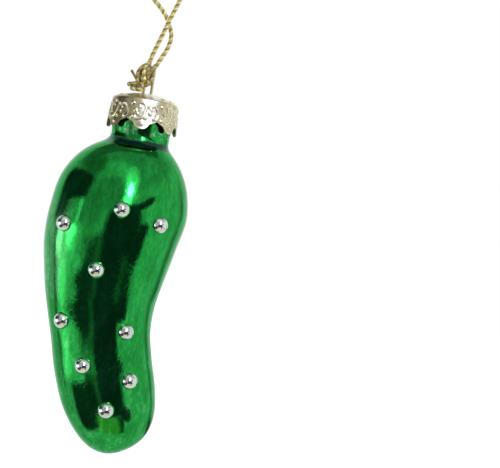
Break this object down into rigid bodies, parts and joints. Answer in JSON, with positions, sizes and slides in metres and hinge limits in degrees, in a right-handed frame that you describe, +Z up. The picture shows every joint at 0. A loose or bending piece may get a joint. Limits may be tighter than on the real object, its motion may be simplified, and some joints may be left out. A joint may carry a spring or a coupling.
{
  "type": "pickle ornament",
  "caption": "Hanging blown-glass ornament shaped like a bent pickle, mirror green with silver bead warts, a scalloped gold cap, a sprung wire eye and a gold cord loop.",
  "frame": {"origin": "inside top of the cord loop, where a hook or twig carries the ornament", "axes": "+Z up along the neck of the glass, +X to the right seen from the front, -Y to the front"},
  "size_m": [0.0393, 0.0415, 0.1606],
  "materials": {
    "green_glass": "blown glass, silvered and lacquered a translucent green, mirror bright with mottling",
    "silver_bead": "silvered half-round glass bead, mirror bright",
    "cap_gold": "stamped sheet, pale champagne gold, embossed",
    "wire_gold": "bright drawn wire, pale gold",
    "gold_cord": "twisted metallic gold thread"
  },
  "bodies": {
    "cord": {"cord_loop": "gold_cord"},
    "hanger": {"hanger_wire": "wire_gold", "cord_knot": "gold_cord"},
    "cap": {"cap": "cap_gold"},
    "glass": {"glass_body": "green_glass", "bead_01": "silver_bead", "bead_02": "silver_bead", "bead_03": "silver_bead", "bead_04": "silver_bead", "bead_05": "silver_bead", "bead_06": "silver_bead", "bead_07": "silver_bead", "bead_08": "silver_bead", "bead_09": "silver_bead", "bead_10": "silver_bead", "bead_11": "silver_bead", "bead_12": "silver_bead", "bead_13": "silver_bead", "bead_14": "silver_bead", "bead_15": "silver_bead", "bead_16": "silver_bead", "bead_17": "silver_bead"}
  },
  "joints": [
    {"name": "ornament_swing", "type": "hinge", "parent": "cord", "child": "hanger", "pos_m": [0, 0, -0.04913], "axis": [1, 0, 0], "range_deg": [-45, 45]},
    {"name": "cap_swivel", "type": "hinge", "parent": "hanger", "child": "cap", "pos_m": [0, 0, -0.05683], "axis": [0, 0, 1], "continuous": true},
    {"name": "glass_pull_off", "type": "slide", "parent": "cap", "child": "glass", "axis": [0, 0, -1], "range_m": [0, 0.018]}
  ]
}
